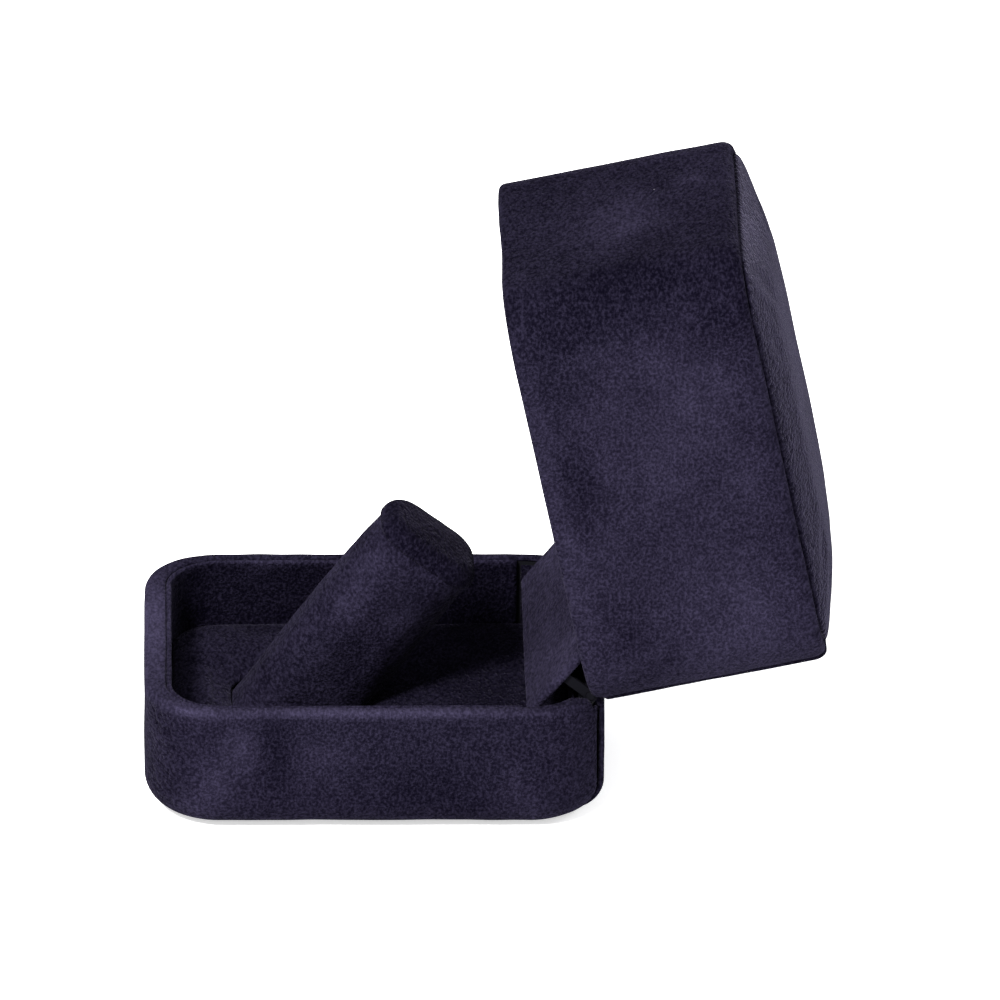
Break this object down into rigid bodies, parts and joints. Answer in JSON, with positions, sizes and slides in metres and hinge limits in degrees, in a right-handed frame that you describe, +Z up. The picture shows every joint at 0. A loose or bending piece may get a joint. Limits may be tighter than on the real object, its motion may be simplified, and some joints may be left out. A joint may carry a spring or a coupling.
{
  "type": "ring box",
  "caption": "Velvet-covered ring box with a hinged padded lid, a sprung bridge flap and a leaning padded ring finger.",
  "frame": {"origin": "centre of the flat underside of the base", "axes": "+Z up, -Y towards the front of the box, +Y towards the hinge, X along the hinge pin"},
  "size_m": [0.052, 0.0986, 0.0874],
  "materials": {
    "velvet_outer": "short-pile velvet, midnight purple, mottled nap",
    "velvet_lining": "short-pile velvet, darker, brushed flat",
    "velvet_pillow": "short-pile velvet stretched over foam",
    "shell_plastic": "moulded, satin black",
    "card": "grey board",
    "foam": "open-cell foam",
    "core_wood": "plain softwood",
    "hinge_steel": "blackened spring steel, matt"
  },
  "bodies": {
    "base": {"base_shell": "shell_plastic", "base_wrap": "velvet_outer", "base_back_panel": "velvet_outer", "base_underlay": "velvet_lining", "base_liner": "velvet_lining", "base_rear_lining": "velvet_lining", "floor_board": "card", "floor_foam": "foam", "floor_cover": "velvet_lining", "finger_socket": "shell_plastic", "finger_core": "core_wood", "finger_foam": "foam", "finger_cover": "velvet_outer", "finger_cap": "velvet_outer", "finger_screws": "hinge_steel", "hinge_leaf_base": "hinge_steel", "hinge_pin": "hinge_steel", "hinge_rivets_base": "hinge_steel"},
    "bridge": {"hinge_bridge": "hinge_steel", "hinge_flap_cover": "velvet_outer"},
    "lid": {"hinge_leaf_lid": "hinge_steel", "hinge_rivets_lid": "hinge_steel", "lid_shell": "shell_plastic", "lid_wrap": "velvet_outer", "lid_back_panel": "velvet_outer", "lid_top_board": "card", "lid_top_foam": "foam", "lid_top_cover": "velvet_pillow", "lid_liner": "velvet_lining", "lid_rear_lining": "velvet_lining", "lid_pad_board": "card", "lid_pad_foam": "foam", "lid_pad_cover": "velvet_lining"}
  },
  "joints": [
    {"name": "lid_hinge", "type": "hinge", "parent": "base", "child": "lid", "pos_m": [0, 0.0304, 0.01915], "axis": [1, 0, 0], "range_deg": [0, 78]},
    {"name": "bridge_hinge", "type": "hinge", "parent": "base", "child": "bridge", "pos_m": [0, 0.0304, 0.01915], "axis": [1, 0, 0], "range_deg": [0, 39]}
  ],
  "couplings": [
    {"joint": "bridge_hinge", "follows": "lid_hinge", "ratio": 0.5}
  ]
}
